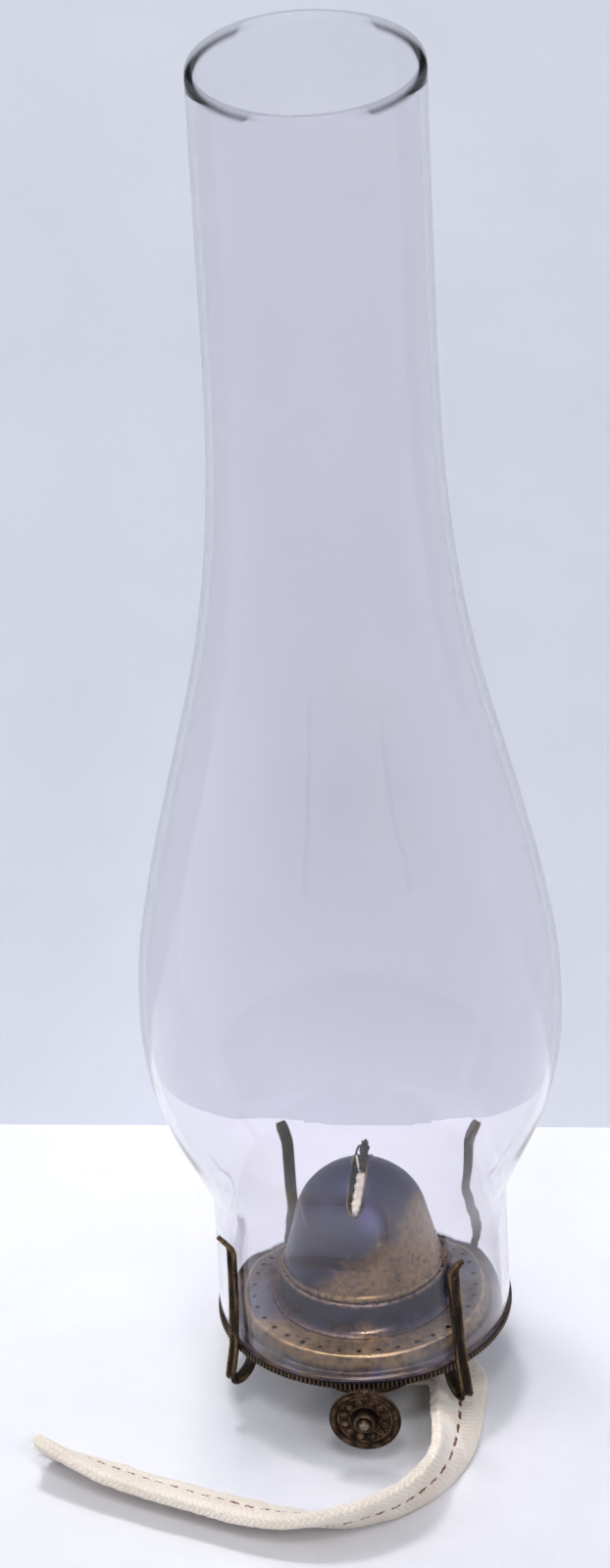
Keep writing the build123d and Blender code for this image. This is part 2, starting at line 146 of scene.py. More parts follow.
# ---- node helpers ------------------------------------------------------------------------------
class Nodes:
    """Short names for building one material's node tree."""

    def __init__(self, name):
        self.material = bpy.data.materials.new(name)
        self.material.use_nodes = True
        self.tree = self.material.node_tree
        self.tree.nodes.clear()
        self.output = self.new("ShaderNodeOutputMaterial")

    def new(self, kind, **values):
        node = self.tree.nodes.new(kind)
        for key, value in values.items():
            setattr(node, key, value)
        return node

    def link(self, a, b):
        self.tree.links.new(a, b)

    def put(self, socket, value):
        if hasattr(value, "is_output"):
            self.link(value, socket)
        else:
            socket.default_value = value

    def place(self):
        """The point on the part in millimetres, at rest."""
        node = self.new("ShaderNodeTexCoord")
        scale = self.new("ShaderNodeVectorMath", operation="SCALE")
        self.link(node.outputs["Object"], scale.inputs[0])
        scale.inputs["Scale"].default_value = 1000
        return scale.outputs[0]

    def split(self, vector):
        node = self.new("ShaderNodeSeparateXYZ")
        self.link(vector, node.inputs[0])
        return node.outputs

    def math(self, operation, a, b=0.0, c=0.0, clamp=False):
        node = self.new("ShaderNodeMath", operation=operation, use_clamp=clamp)
        for socket, value in zip(node.inputs, (a, b, c)):
            self.put(socket, value)
        return node.outputs[0]

    def noise(self, where, size, detail=4.0, rough=0.55, twist=0.0, stretch=None):
        """Noise whose blotches are about size millimetres."""
        if stretch is not None:
            node = self.new("ShaderNodeVectorMath", operation="MULTIPLY")
            self.link(where, node.inputs[0])
            node.inputs[1].default_value = stretch
            where = node.outputs[0]
        node = self.new("ShaderNodeTexNoise")
        self.link(where, node.inputs["Vector"])
        node.inputs["Scale"].default_value = 1 / size
        node.inputs["Detail"].default_value = detail
        node.inputs["Roughness"].default_value = rough
        node.inputs["Distortion"].default_value = twist
        return node.outputs["Fac"]

    def value(self, name):
        node = self.new("ShaderNodeAttribute", attribute_name=name)
        return node.outputs["Fac"]

    def between(self, x, low, high, out_low=0.0, out_high=1.0):
        node = self.new("ShaderNodeMapRange", interpolation_type="SMOOTHSTEP")
        self.put(node.inputs["Value"], x)
        node.inputs["From Min"].default_value = low
        node.inputs["From Max"].default_value = high
        node.inputs["To Min"].default_value = out_low
        node.inputs["To Max"].default_value = out_high
        return node.outputs["Result"]

    def mix(self, share, a, b, kind="MIX"):
        node = self.new("ShaderNodeMix", data_type="RGBA", blend_type=kind)
        self.put(node.inputs[0], share)
        self.put(node.inputs[6], a if hasattr(a, "is_output") else (*a, 1.0))
        self.put(node.inputs[7], b if hasattr(b, "is_output") else (*b, 1.0))
        return node.outputs[2]

    def bump(self, height, distance, strength=1.0, after=None):
        node = self.new("ShaderNodeBump")
        self.put(node.inputs["Height"], height)
        node.inputs["Distance"].default_value = distance * MM
        node.inputs["Strength"].default_value = strength
        if after is not None:
            self.link(after, node.inputs["Normal"])
        return node.outputs["Normal"]

    def surface(self, **values):
        node = self.new("ShaderNodeBsdfPrincipled")
        for key, value in values.items():
            self.put(node.inputs[key.replace("_", " ")], value)
        self.link(node.outputs[0], self.output.inputs["Surface"])
        return node


def metal(name, bright, middle, dark, blotch=7.0, gold=0.5, blue=None, wear=False,
          rough=(0.34, 0.62), grain=0.06, gold_mask=None, lift=None):
    """Old brass: dark patina, brown middle tone and worn bright metal, each in its own blotches."""
    n = Nodes(name)
    where = n.place()
    large = n.noise(where, blotch, 6, 0.62, 0.3)
    fine = n.noise(where, blotch / 5, 5, 0.65)
    speck = n.noise(where, 0.45, 3, 0.6)
    blend = n.math("MULTIPLY_ADD", fine, 0.45, n.math("MULTIPLY", large, 0.75))
    tone = n.mix(n.between(blend, 0.5, 0.7), dark, middle)
    if blue is not None:
        veil = n.noise(where, blotch * 1.3, 5, 0.6, 0.5)
        tone = n.mix(n.between(veil, 0.4, 0.62, 0, 0.85), tone, blue)
    shine = n.between(blend, 0.78 - 0.3 * gold, 1.0 - 0.3 * gold)
    # gold_mask adds bright metal: painted reflection and highlight on the dome, drum and deck, the
    # crests on the serrated ring
    if gold_mask is not None:
        place = gold_mask(n, where)
        shine = n.math("MULTIPLY_ADD", place, 0.85, n.math("MULTIPLY", shine, 0.35), clamp=True)
        shine = n.math("MULTIPLY", shine, n.between(fine, 0.3, 0.62, 0.35, 1.0))
    if wear:
        rubbed = n.math("MULTIPLY", n.value("wear"), n.between(fine, 0.32, 0.6, 0.25, 1.0))
        shine = n.math("MAXIMUM", shine, rubbed)
    tone = n.mix(shine, tone, bright)
    tone = n.mix(n.between(speck, 0.62, 0.74, 0, 0.55), tone, tuple(0.35 * c for c in dark))
    roughness = n.math(
        "SUBTRACT",
        n.between(fine, 0.3, 0.7, rough[0], rough[1]),
        n.math("MULTIPLY", shine, 0.12),
    )
    relief = n.math("ADD", n.math("MULTIPLY", speck, 0.5), fine)
    if lift is not None:
        relief = n.math("ADD", relief, lift(n, where))
    n.surface(
        Base_Color=tone, Metallic=0.92, Roughness=roughness,
        Normal=n.bump(relief, grain, 0.6),
    )
    return n.material


# ---- materials ---------------------------------------------------------------------------------
def painted_reflection_low_front(n, where):
    """Painted reflection: gold over the dome's right side and lower front."""
    x, y, z = n.split(where)
    lean = n.math("MULTIPLY_ADD", x, 0.045, n.math("MULTIPLY_ADD", z, -0.055, 2.75))
    lean = n.math("MULTIPLY_ADD", y, -0.012, lean)
    wander = n.noise(where, 9.0, 5, 0.6, 0.4)
    return n.between(n.math("MULTIPLY_ADD", wander, 1.2, n.math("ADD", lean, -0.6)), 0.05, 0.55)


def painted_highlight_front_foot(n, where):
    """Painted highlight: gold at the middle of the drum's front, near its foot."""
    x, _, z = n.split(where)
    across = n.math("ABSOLUTE", n.math("SUBTRACT", x, 2.0))
    lean = n.math("MULTIPLY_ADD", across, -0.05, n.math("MULTIPLY_ADD", z, -0.11, 4.1))
    wander = n.noise(where, 6.0, 5, 0.6, 0.4)
    return n.between(n.math("ADD", lean, n.math("MULTIPLY", wander, 0.8)), 0.75, 1.35)


def golden_edge_and_front_reflection(n, where):
    """Gold along the plateau's rounded edge, and painted reflection: gold over the deck's front
    inside that edge.
    """
    x, y, _ = n.split(where)
    r = n.math("SQRT", n.math("ADD", n.math("MULTIPLY", x, x), n.math("MULTIPLY", y, y)))
    raised = n.math("MULTIPLY", n.between(r, 30.7, 31.3), n.between(r, 33.2, 32.4))
    # painted reflection: gold over the front of the deck
    front = n.math("MULTIPLY", n.between(y, -12.0, -24.0), n.between(r, 31.9, 31.0))
    return n.math("MULTIPLY_ADD", raised, 0.7, n.math("MULTIPLY", front, 0.8), clamp=True)


def ring_crests(n, where):
    """The crests of the serrated edge, by their distance from the axis."""
    x, y, _ = n.split(where)
    r = n.math("SQRT", n.math("ADD", n.math("MULTIPLY", x, x), n.math("MULTIPLY", y, y)))
    return n.between(r, 38.34, 38.58)


BLACK = (0.009, 0.007, 0.006)
SLATE = (0.026, 0.026, 0.068)

dome_metal = metal("dome_brass", (0.36, 0.225, 0.105), SLATE, (0.018, 0.017, 0.042), 8.0, 0.2,
                   blue=(0.032, 0.033, 0.085), rough=(0.28, 0.5), gold_mask=painted_reflection_low_front,
                   wear=True)
drum_metal = metal("drum_brass", (0.36, 0.235, 0.135), (0.036, 0.034, 0.078), (0.018, 0.017, 0.04),
                   7.0, 0.2, blue=SLATE, rough=(0.26, 0.46), gold_mask=painted_highlight_front_foot,
                   wear=True)
deck_metal = metal("deck_brass", (0.52, 0.35, 0.18), (0.16, 0.115, 0.095), (0.05, 0.04, 0.045),
                   9.0, 0.3, blue=(0.12, 0.115, 0.16), rough=(0.3, 0.5), gold_mask=golden_edge_and_front_reflection)
rim_metal = metal("rim_brass", (0.26, 0.18, 0.105), (0.022, 0.015, 0.013), (0.008, 0.006, 0.006),
                  6.0, 0.15, rough=(0.35, 0.6), gold_mask=ring_crests)
dark_metal = metal("dark_brass", (0.44, 0.28, 0.13), (0.024, 0.016, 0.012), BLACK, 5.0, 0.3,
                   wear=True, rough=(0.3, 0.55))
knob_metal = metal("knob_brass", (0.36, 0.22, 0.12), (0.026, 0.016, 0.012), (0.007, 0.005, 0.005),
                   3.2, 0.32, wear=True, rough=(0.36, 0.6), grain=0.09)
inner_metal = metal("inner_brass", (0.42, 0.29, 0.15), (0.13, 0.09, 0.055), (0.05, 0.038, 0.03),
                    6.0, 0.5, rough=(0.4, 0.65))
steel_metal = metal("shaft_steel", (0.62, 0.58, 0.52), (0.22, 0.19, 0.16), (0.06, 0.05, 0.04),
                    3.0, 0.7, rough=(0.25, 0.5), grain=0.03)


def clear_glass():
    n = Nodes("chimney_glass")
    where = n.place()
    _, _, z = n.split(where)
    swirl = n.noise(where, 46.0, 3, 0.5, 0.6, stretch=(1.0, 1.0, 0.25))
    streak = n.noise(where, 5.0, 2, 0.5, 0.2, stretch=(1.0, 1.0, 0.05))
    relief = n.math("MULTIPLY_ADD", streak, 0.05, swirl)
    dust = n.noise(where, 1.1, 2, 0.5)
    film = n.between(dust, 0.66, 0.8, 0.0, 0.09)
    node = n.new("ShaderNodeBsdfPrincipled")
    node.inputs["Base Color"].default_value = (0.905, 0.895, 0.925, 1)
    node.inputs["IOR"].default_value = 1.42
    node.inputs["Specular IOR Level"].default_value = 0.22
    node.inputs["Transmission Weight"].default_value = 1.0
    n.put(node.inputs["Roughness"], film)
    n.link(n.bump(relief, 0.02, 0.25), node.inputs["Normal"])
    path = n.new("ShaderNodeLightPath")
    clear = n.new("ShaderNodeBsdfTransparent")
    clear.inputs[0].default_value = (0.86, 0.855, 0.875, 1)
    blend = n.new("ShaderNodeMixShader")
    n.link(path.outputs["Is Shadow Ray"], blend.inputs[0])
    n.link(node.outputs[0], blend.inputs[1])
    n.link(clear.outputs[0], blend.inputs[2])
    # painted light: the fire-polished rim is mostly a plain see-through layer, so it shows pale all
    # round
    pale = n.new("ShaderNodeBsdfTransparent")
    pale.inputs[0].default_value = (0.97, 0.97, 0.98, 1)
    rim = n.new("ShaderNodeMixShader")
    n.put(rim.inputs[0], n.between(z, 382.4, 384.6, 0.0, 0.78))
    n.link(blend.outputs[0], rim.inputs[1])
    n.link(pale.outputs[0], rim.inputs[2])
    n.link(rim.outputs[0], n.output.inputs["Surface"])
    return n.material


def cotton(name, burnt=False):
    """Woven cotton. The mesh carries how far across and along the wick each point is, in mm."""
    n = Nodes(name)
    where = n.place()
    across = n.value("across")
    crest = n.value("crest")
    soil = n.noise(where, 11.0, 5, 0.6, 0.4)
    fuzz = n.noise(where, 0.35, 4, 0.7)
    fibre = n.noise(where, 0.8, 3, 0.6, 0.6)
    tone = n.mix(n.between(soil, 0.35, 0.7), (0.94, 0.86, 0.76), (0.84, 0.73, 0.60))
    # painted shade: the hollows between the weave's ribs are darker
    tone = n.mix(n.between(crest, 0.0, 0.75, 0.6, 0.0), tone, (0.64, 0.51, 0.39))
    tone = n.mix(n.between(fuzz, 0.35, 0.7, 0.0, 0.45), tone, (0.93, 0.88, 0.80))
    # the red guide thread: one dashed float along the middle of each face
    beat = n.math("FRACT", n.value("phase"))
    wobble = n.noise(where, 2.6, 2, 0.5)
    half = n.math("MULTIPLY_ADD", wobble, 0.4, 0.40)
    ends = n.math("MULTIPLY", n.between(beat, 0.12, 0.26), n.between(beat, 0.82, 0.68))
    width = n.math("MULTIPLY", half, n.math("SQRT", ends))
    reach = n.math("SUBTRACT", width, n.math("ABSOLUTE", across))
    thread = n.between(reach, 0.0, 0.12)
    tone = n.mix(n.math("MULTIPLY", thread, n.value("face")), tone, (0.19, 0.040, 0.026))
    if burnt:
        char = n.value("char")
        ragged = n.math("MULTIPLY_ADD", fibre, 0.5, n.math("ADD", char, -0.25))
        scorched = n.between(ragged, 0.2, 0.5)
        tone = n.mix(scorched, tone, (0.20, 0.115, 0.06))
        tone = n.mix(n.between(ragged, 0.42, 0.66), tone, (0.006, 0.005, 0.006))
    relief = n.math("MULTIPLY_ADD", fibre, 0.6, fuzz)
    n.surface(
        Base_Color=tone, Roughness=n.between(fuzz, 0.3, 0.7, 0.82, 0.98),
        Normal=n.bump(relief, 0.22, 0.8),
        Sheen_Weight=0.25, Sheen_Roughness=0.5,
    )
    return n.material


def paper(name, colour, size, grain, back_clear=False):
    n = Nodes(name)
    where = n.place()
    tone = n.mix(n.between(n.noise(where, size, 4, 0.6), 0.3, 0.7), colour,
                 tuple(0.97 * c for c in colour))
    node = n.surface(
        Base_Color=tone, Roughness=0.9,
        Normal=n.bump(n.noise(where, 1.7, 4, 0.7), grain, 0.5),
    )
    if back_clear:
        side = n.new("ShaderNodeNewGeometry")
        clear = n.new("ShaderNodeBsdfTransparent")
        blend = n.new("ShaderNodeMixShader")
        n.link(side.outputs["Backfacing"], blend.inputs[0])
        n.link(node.outputs[0], blend.inputs[1])
        n.link(clear.outputs[0], blend.inputs[2])
        n.link(blend.outputs[0], n.output.inputs["Surface"])
    return n.material


glass = clear_glass()
wick_cloth = cotton("wick_cotton")
burnt_cloth = cotton("burnt_cotton", burnt=True)


# ---- camera ------------------------------------------------------------------------------------
def aim_camera():
    turned = math.radians(7.5)        # the burner's front looks to the camera's left
    pitch, yaw, roll = 0.56114, -0.0057, -0.0514
    right = Vector((math.cos(turned), math.sin(turned), 0))
    ahead = Vector((-math.sin(turned), math.cos(turned), 0))
    up = Vector((0, 0, 1))
    forward = (right * math.sin(yaw) * math.cos(pitch)
               + ahead * math.cos(yaw) * math.cos(pitch) - up * math.sin(pitch)).normalized()
    side = forward.cross(up).normalized()
    above = side.cross(forward)
    side, above = (side * math.cos(roll) + above * math.sin(roll),
                   above * math.cos(roll) - side * math.sin(roll))
    data = bpy.data.cameras.new("camera")
    data.lens, data.sensor_width = 167.85, 36.0
    data.clip_start, data.clip_end = 0.05, 20
    cam = bpy.data.objects.new("camera", data)
    scene.collection.objects.link(cam)
    from mathutils import Matrix

    turn = Matrix((side, above, -forward)).transposed()
    cam.matrix_world = Matrix.Translation(up * 1.1633 - ahead * 1.55805) @ turn.to_4x4()
    scene.camera = cam


aim_camera()

# ---- the free wick on the table: its route, and how the flat band rolls over on the way --------
WICK_WIDTH = 16.0
WICK_THICK = 3.8
ROUTE = [
    (19.0, 1.0, 2.0),
    (24.2, -5.0, 3.6),
    (25.4, -17.0, 5.6),
    (26.2, -31.0, 6.6),
    (25.2, -46.5, 7.6),
    (20.8, -58.6, 8.2),
    (14.0, -66.8, 8.2),
    (3.6, -72.6, 7.6),
    (-8.0, -73.8, 6.4),
    (-20.0, -71.2, 5.4),
    (-32.0, -66.8, 5.2),
    (-47.6, -61.6, 5.4),
    (-64.8, -54.4, 5.8),
    (-79.6, -47.6, 7.4),
]
# share of the length, and the band's roll in degrees: the edge on the inside of the bend lifts,
# stands up in the bend and leans out beyond it
ROLL = [(0.0, 2.0), (0.05, 12.0), (0.12, 32.0), (0.2, 46.0), (0.26, 66.0), (0.32, 90.0),
        (0.38, 108.0), (0.44, 119.0), (0.51, 130.0), (0.58, 152.0), (0.66, 157.0), (0.88, 152.0),
        (1.0, 128.0)]


def route_line():
    """The route's own smooth line, from one NURBS spline over its points."""
    curve = bpy.data.curves.new("wick_route", "CURVE")
    curve.dimensions = "3D"
    spline = curve.splines.new("NURBS")
    spline.points.add(len(ROUTE) - 1)
    for point, place in zip(spline.points, ROUTE):
        point.co = (*(c * MM for c in place), 1.0)
    spline.order_u = 3
    spline.use_endpoint_u = True
    spline.resolution_u = 48
    holder = bpy.data.objects.new("wick_route", curve)
    mesh = bpy.data.meshes.new_from_object(holder)
    line = np.array([v.co for v in mesh.vertices], float)
    bpy.data.objects.remove(holder)
    bpy.data.meshes.remove(mesh)
    bpy.data.curves.remove(curve)
    if np.linalg.norm(line[0] - np.array(ROUTE[0]) * MM) > np.linalg.norm(
        line[-1] - np.array(ROUTE[0]) * MM
    ):
        line = line[::-1]
    return line


def section(width, thick, count):
    """A flat band's rounded section: place across, height and distance round it."""
    half, round_r = width / 2, thick / 2
    t = np.linspace(0, 2 * math.pi, count, endpoint=False)
    power = 0.42
    u = half * np.sign(np.cos(t)) * np.abs(np.cos(t)) ** 0.62
    h = round_r * np.sign(np.sin(t)) * np.abs(np.sin(t)) ** power
    # even out the spacing along the section
    closed = np.vstack([np.stack([u, h], -1), [[u[0], h[0]]]])
    run = np.concatenate([[0], np.cumsum(np.linalg.norm(np.diff(closed, axis=0), axis=1))])
    at = np.linspace(0, run[-1], count, endpoint=False)
    u = np.interp(at, run, closed[:, 0])
    h = np.interp(at, run, closed[:, 1])
    return u, h, at


def weave(across, along):
    """Height of the herringbone ribs, 0 to 1, and how much of a crest each point is."""
    zone = 4.2
    zigzag = np.abs(((across / zone) % 2) - 1) * zone
    rib = 0.5 + 0.5 * np.cos(2 * math.pi * (along + 0.85 * zigzag) / 1.55)
    cross = 0.5 + 0.5 * np.cos(2 * math.pi * (along - 0.7 * zigzag) / 1.1 + 1.3)
    return 0.7 * rib + 0.3 * cross


def close_end(points, values, faces, count, end, way, shape, shares):
    """Closes a band's end with rings that shrink towards its middle. Returns the points."""
    first = end * count
    ring = list(range(first, first + count))
    for share in shares:
        base = len(points)
        points = np.vstack([points, shape(points[first:first + count].copy(), *share)])
        for key in values:
            values[key] = np.concatenate([values[key], values[key][first:first + count]])
        new = list(range(base, base + count))
        for k in range(count):
            k2 = (k + 1) % count
            quad = (ring[k], ring[k2], new[k2], new[k])
            faces.append(quad if way > 0 else quad[::-1])
        ring = new
    faces.append(tuple(ring[::-1]) if way < 0 else tuple(ring))
    return points


def scatter(count, reach):
    """Small random steps, one for each point of a ring."""
    return np.array([[rng.uniform(-reach, reach) for _ in range(3)] for _ in range(count)])


def ribbon(name, line, rolls, width, thick, material, count=96, lumps=0.35, first=0.0,
           up=(0, 0, 1), taper=None, fray=0.0):
    """A woven band along a line in mm. rolls are degrees; the right-hand edge lifts with them."""
    line = np.asarray(line, float)
    step = np.gradient(line, axis=0)
    tangent = step / np.linalg.norm(step, axis=1)[:, None]
    run = np.concatenate([[0], np.cumsum(np.linalg.norm(np.diff(line, axis=0), axis=1))])
    up = np.asarray(up, float)
    if up.ndim == 1:
        up = np.repeat(up[None], len(line), 0)
    right = np.cross(tangent, up)
    right /= np.linalg.norm(right, axis=1)[:, None]
    top = np.cross(right, tangent)
    roll = np.radians(rolls)[:, None]
    side = np.cos(roll) * right + np.sin(roll) * top
    face = np.cos(roll) * top - np.sin(roll) * right
    u, h, at = section(width, thick, count)
    widths = np.ones(len(line)) if taper is None else np.asarray(taper, float)
    points, across, phase, crest, flat = [], [], [], [], []
    edge = smooth_step(np.abs(u), 0.5 * width - 1.5, 0.5 * width)
    normal_u = np.sign(u) * edge
    normal_h = np.sign(h) * (1 - edge)
    size = np.sqrt(normal_u**2 + normal_h**2)
    normal_u, normal_h = normal_u / size, normal_h / size
    shift = np.where(h >= 0, 0.0, 0.8)
    # the guide thread's floats are longer on the stretch where the wick has been pulled
    wide_gap, close_gap, change = 5.8, 4.35, 58
    for i in range(len(line)):
        s = run[i] + first
        rise = weave(at + 3.1, s + shift)
        soft = np.array([
            noise.noise((uu * 0.16, s * 0.13, hh * 0.4 + 5.0)) for uu, hh in zip(u[::4], h[::4])
        ])
        soft = np.interp(np.arange(count), np.arange(0, count, 4), soft, period=count)
        rough = np.array([noise.noise((uu * 0.9, s * 0.7, hh + 9.0))
                          for uu, hh in zip(u[::2], h[::2])])
        rough = np.interp(np.arange(count), np.arange(0, count, 2), rough, period=count)
        bulge = 0.38 * (rise - 0.5) + lumps * soft + 0.3 * rough
        uu = u * widths[i] + normal_u * bulge
        hh = h + normal_h * bulge * 0.8
        hh = hh - np.sign(h) * 0.25 * np.exp(-((u / 0.8) ** 2)) * (np.abs(h) > thick * 0.3)
        points.append(line[i] + side[i] * uu[:, None] + face[i] * hh[:, None])
        across.append(u)
        phase.append(np.full(count, s / wide_gap if s < change else
                             change / wide_gap + (s - change) / close_gap))
        crest.append(rise)
        flat.append((np.abs(h) > thick * 0.25).astype(float))
    points = np.concatenate(points)
    faces = grid_faces(len(line), count, False, True)
    values = {
        "across": np.concatenate(across), "phase": np.concatenate(phase),
        "crest": np.concatenate(crest), "face": np.concatenate(flat),
    }
    # both ends are closed by rings that shrink to a slightly domed middle
    for end, way in ((0, -1), (len(line) - 1, 1)):
        def shape(rim, share, out, end=end, way=way):
            grown = line[end] + (rim - line[end]) * share + tangent[end] * way * out
            return grown + scatter(count, 0.2)

        points = close_end(points, values, faces, count, end, way, shape,
                           ((0.72, 0.35), (0.4, 0.55), (0.1, 0.6)))
    if fray:
        end = len(line) - 1
        for _ in range(130):
            k = rng.randrange(count)
            share = math.sqrt(rng.random())
            root = line[end] + (points[end * count + k] - line[end]) * share
            heading = tangent[end] * rng.uniform(0.5, 1.0) + np.array(
                [rng.uniform(-0.7, 0.7) for _ in range(3)])
            bend = np.array([rng.uniform(-0.6, 0.6) for _ in range(3)])
            length = fray * rng.uniform(0.4, 1.0)
            base = len(points)
            strand = []
            for j in range(5):
                t = j / 4
                middle = root + heading * length * t + bend * length * t * t
                middle[2] = max(middle[2], 0.15)
                thin = 0.13 * (1 - 0.7 * t)
                for q in range(4):
                    a = math.pi * q / 2
                    ray = side[end] * math.cos(a) + face[end] * math.sin(a)
                    strand.append(middle + thin * ray)
            points = np.vstack([points, strand])
            for key in values:
                fill = {"across": 5.0, "phase": 0.0, "crest": 0.9, "face": 0.0}[key]
                values[key] = np.concatenate([values[key], np.full(20, fill)])
            for j in range(4):
                for q in range(4):
                    a0, a1 = base + 4 * j + q, base + 4 * j + (q + 1) % 4
                    faces.append((a0, a1, a1 + 4, a0 + 4))
    return make_object(name, points, faces, material, 60.0, **values)


path = route_line()
line = path / MM
run = np.concatenate([[0], np.cumsum(np.linalg.norm(np.diff(line, axis=0), axis=1))])
rolls = np.interp(run / run[-1], [s for s, _ in ROLL], [a for _, a in ROLL])
grow = np.interp(run, [0, 6, 12], [0.95, 0.99, 1.0])
tail = ribbon("wick_tail_band", line, rolls, WICK_WIDTH, WICK_THICK, wick_cloth,
              taper=grow, fray=2.6)
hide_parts("wick_tail")
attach(tail, "burner")


# ---- the slack wick inside the collar, and the burning wick in its tube ------------------------
def folded_wick():
    """From the tail's exit back under the tube, round, and up into it."""
    corners = [(19.5, 1.9), (10.0, 1.35), (0.0, 1.3), (-7.5, 1.35), (-10.6, 1.7), (-11.6, 2.6),
               (-10.6, 3.6), (-7.5, 3.85), (-4.0, 3.9), (-1.6, 4.4), (-0.4, 6.0), (0.0, 8.6),
               (0.0, 11.0)]
    middle = curve_through([(x, 0.0, z) for x, z in corners], 9)
    spread = np.interp(middle[:, 2], [4.4, 9.0], [15.4, 25.0]) / 15.4
    spread[: len(spread) // 3] = 1.0
    step = np.gradient(middle, axis=0)
    ups = np.stack([-step[:, 2], np.zeros(len(step)), step[:, 0]], -1)
    band = ribbon("slack_wick", middle, np.zeros(len(middle)), 15.4, 2.3, wick_cloth, count=56,
                  lumps=0.12, first=160.0, up=ups, taper=spread)
    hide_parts("wick_fold")
    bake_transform(band)
    return band


def burning_wick():
    """The band in the tube. Its top edge is a row of swollen loops, burnt to a lump at the back."""
    wide, thick, count = 25.0, 2.3, 112
    u, h, at = section(wide, thick, count)
    low, top = 10.6, 58.6
    levels = np.concatenate([np.arange(low, 50.0, 0.5), np.arange(50.0, top + 0.01, 0.22)])
    cell = 4.15
    points, across, crest, flat, char = [], [], [], [], []

    def top_rise(y):
        """How far each loop of the trimmed edge swells up at place y."""
        loop = np.abs(np.cos(math.pi * (y + 12.5) / cell + 0.4))
        return 1.3 * np.sqrt(loop)

    def fatness(y):
        loop = np.abs(np.cos(math.pi * (y + 12.5) / cell + 0.4))
        return 1.0 + 0.35 * loop

    edge = smooth_step(np.abs(u), 0.5 * wide - 1.0, 0.5 * wide)
    for z in levels:
        rise = weave(at + 1.0, z + np.where(h >= 0, 0.0, 0.7))
        near_top = smooth_step(z, top - 3.2, top - 0.6)
        fat = 1 + (fatness(u) - 1.0) * near_top
        hh = h * fat * (1 - 0.12 * near_top) + np.sign(h) * (1 - edge) * 0.22 * (rise - 0.5)
        uu = u + np.sign(u) * edge * 0.2 * (rise - 0.5)
        lift = top_rise(uu) * near_top
        points.append(np.stack([hh, uu, z + lift], -1))
        across.append(u)
        crest.append(rise)
        flat.append((np.abs(h) > thick * 0.25).astype(float))
        back = smooth_step(uu, 4.5, 8.5)
        burn = smooth_step(z + lift, top - 3.4 - 2.2 * back, top + 1.6 - 2.6 * back)
        char.append(np.clip(0.2 * burn + 0.85 * back * smooth_step(z, top - 5, top - 2), 0, 1))
    points = np.concatenate(points)
    values = {"across": np.concatenate(across), "crest": np.concatenate(crest),
              "face": np.concatenate(flat),
              "char": np.concatenate(char)}
    rows = len(levels)
    faces = grid_faces(rows, count, False, True)
    for end, way in ((0, -1), (rows - 1, 1)):
        def shape(rim, share, out, way=way):
            rim[:, 0] *= share
            rim[:, 2] += way * out * (0.6 if way > 0 else 0.2)
            return rim + scatter(count, 0.12)

        points = close_end(points, values, faces, count, end, way, shape,
                           ((0.75, 0.5), (0.45, 0.85), (0.12, 1.0)))
    band = make_object("burning_wick", points, faces, burnt_cloth, 60.0, **values)
    recalculated(band)
    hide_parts("wick_band")
    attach(band, "wick")
    return band


def crusty_lump(name, centre, size, seed, body, material):
    """A charred crumb: a ball pushed in and out by coarse and fine noise."""
    rows, columns = 40, 48
    points = []
    for i in range(rows):
        polar = math.pi * (i + 0.5) / rows
        for j in range(columns):
            turn = 2 * math.pi * j / columns
            way = np.array([math.sin(polar) * math.cos(turn), math.sin(polar) * math.sin(turn),
                            math.cos(polar)])
            coarse = noise.noise(Vector(way * 1.6) + Vector((seed, 0, 0)))
            fine = noise.noise(Vector(way * 4.5) + Vector((0, seed, 0)))
            tiny = noise.noise(Vector(way * 11.0) + Vector((0, 0, seed)))
            reach = 1 + 0.55 * coarse + 0.3 * fine + 0.13 * tiny
            points.append(np.array(centre) + way * np.array(size) * reach)
    faces = grid_faces(rows, columns, False, True)
    faces.append(tuple(range(columns)))
    faces.append(tuple(range((rows - 1) * columns, rows * columns))[::-1])
    count = len(points)
    obj = make_object(name, points, faces, material, 70.0, across=np.full(count, 6.0),
                      crest=np.full(count, 0.5), face=np.zeros(count),
                      char=np.full(count, 1.0))
    recalculated(obj)
    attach(obj, body)
    return obj


def thread(name, points, radius, material, char_from=0.4):
    """A single loose yarn, tapering towards its end."""
    middle = curve_through(points, 8)
    step = np.gradient(middle, axis=0)
    tangent = step / np.linalg.norm(step, axis=1)[:, None]
    side = np.cross(tangent, (0.3, 0.2, 1.0))
    side /= np.linalg.norm(side, axis=1)[:, None]
    other = np.cross(tangent, side)
    out, char = [], []
    for i, centre in enumerate(middle):
        t = i / (len(middle) - 1)
        thick = radius * (1 - 0.45 * t) * (1 + 0.18 * math.sin(i * 2.3))
        for q in range(8):
            a = math.pi * q / 4
            out.append(centre + thick * (side[i] * math.cos(a) + other[i] * math.sin(a)))
            char.append(float(smooth_step(t, char_from, char_from + 0.25)))
    faces = grid_faces(len(middle), 8, False, True)
    faces.append(tuple(range(8))[::-1])
    faces.append(tuple(range(8 * (len(middle) - 1), 8 * len(middle))))
    count = len(out)
    obj = make_object(name, out, faces, material, 70.0, across=np.full(count, 6.0),
                      crest=np.full(count, 0.7), face=np.zeros(count),
                      char=char)
    recalculated(obj)
    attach(obj, "wick")
    return obj


folded_wick()
burning_wick()
crusty_lump("burnt_lump_back", (0.2, 9.3, 63.0), (1.25, 2.4, 2.3), 3.0, "wick", burnt_cloth)
crusty_lump("burnt_lump_top", (0.5, 10.0, 65.0), (1.0, 1.5, 1.7), 8.0, "wick", burnt_cloth)
crusty_lump("burnt_crust", (0.3, 6.4, 61.3), (0.9, 1.7, 0.9), 14.0, "wick", burnt_cloth)
thread("loose_yarn", [(-0.5, 6.2, 58.9), (-0.9, 6.6, 60.4), (-1.4, 7.6, 62.4), (-1.6, 8.6, 64.0),
                      (-0.9, 9.8, 65.4), (-0.2, 9.2, 65.0)], 0.42, burnt_cloth)

# ---- chimney -----------------------------------------------------------------------------------
FOOT = 24.55


